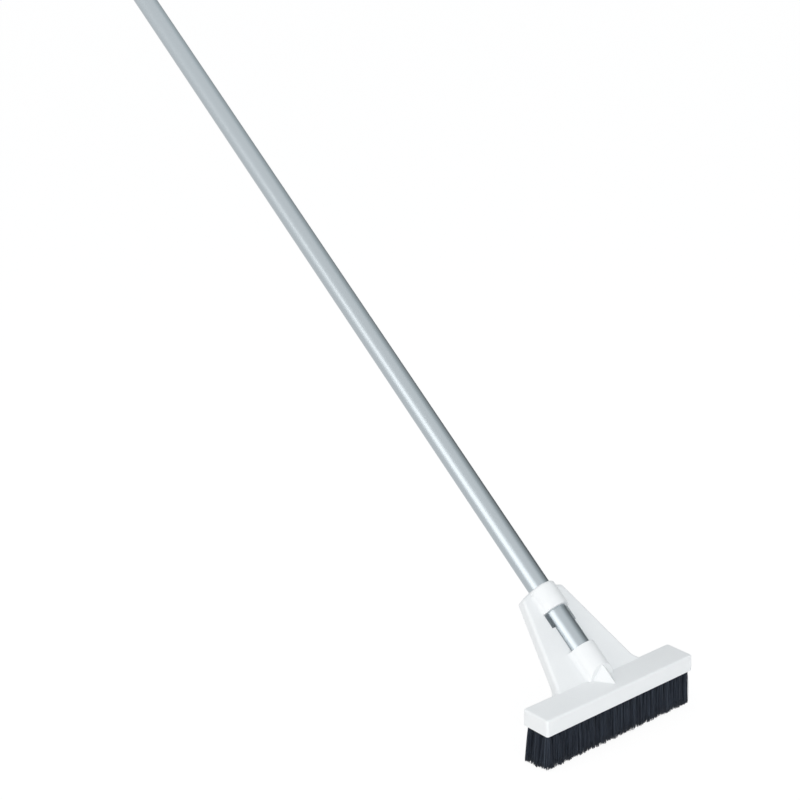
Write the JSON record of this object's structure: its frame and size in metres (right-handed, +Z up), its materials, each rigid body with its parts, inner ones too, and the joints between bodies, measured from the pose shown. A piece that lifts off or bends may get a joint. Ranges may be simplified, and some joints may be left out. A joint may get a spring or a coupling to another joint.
{
  "type": "carpet brush",
  "caption": "Long-handled carpet brush: a moulded block with bristle tufts and a fan-shaped bracket that takes an aluminium tube handle with a hanging cap.",
  "frame": {"origin": "centre of the bristle tips, on the plane that the brush rests on", "axes": "+X along the brush block, +Y towards the back, where the handle leans, +Z up; the handle's axis lies in the YZ plane, 38.5 degrees up from the floor"},
  "size_m": [0.2126, 1.0086, 0.8335],
  "materials": {
    "white_moulding": "semi-gloss moulded polypropylene",
    "bristle": "crimped nylon filament",
    "anchor_wire": "galvanised flat wire",
    "anodised_tube": "satin anodised, drawn grain",
    "black_plug": "moulded polyethylene",
    "grey_cap": "moulded polypropylene"
  },
  "bodies": {
    "head": {"head_moulding": "white_moulding", "tuft_row_1": "bristle", "tuft_row_2": "bristle", "tuft_row_3": "bristle", "tuft_row_4": "bristle", "tuft_row_5": "bristle", "anchor_row_1": "anchor_wire", "anchor_row_2": "anchor_wire", "anchor_row_3": "anchor_wire", "anchor_row_4": "anchor_wire", "anchor_row_5": "anchor_wire"},
    "handle": {"handle_tube": "anodised_tube", "foot_plug": "black_plug", "hanging_cap": "grey_cap"}
  },
  "joints": [
    {"name": "handle_pull", "type": "slide", "parent": "head", "child": "handle", "axis": [0, 0.7826, 0.6225], "range_m": [0, 0.11]}
  ]
}
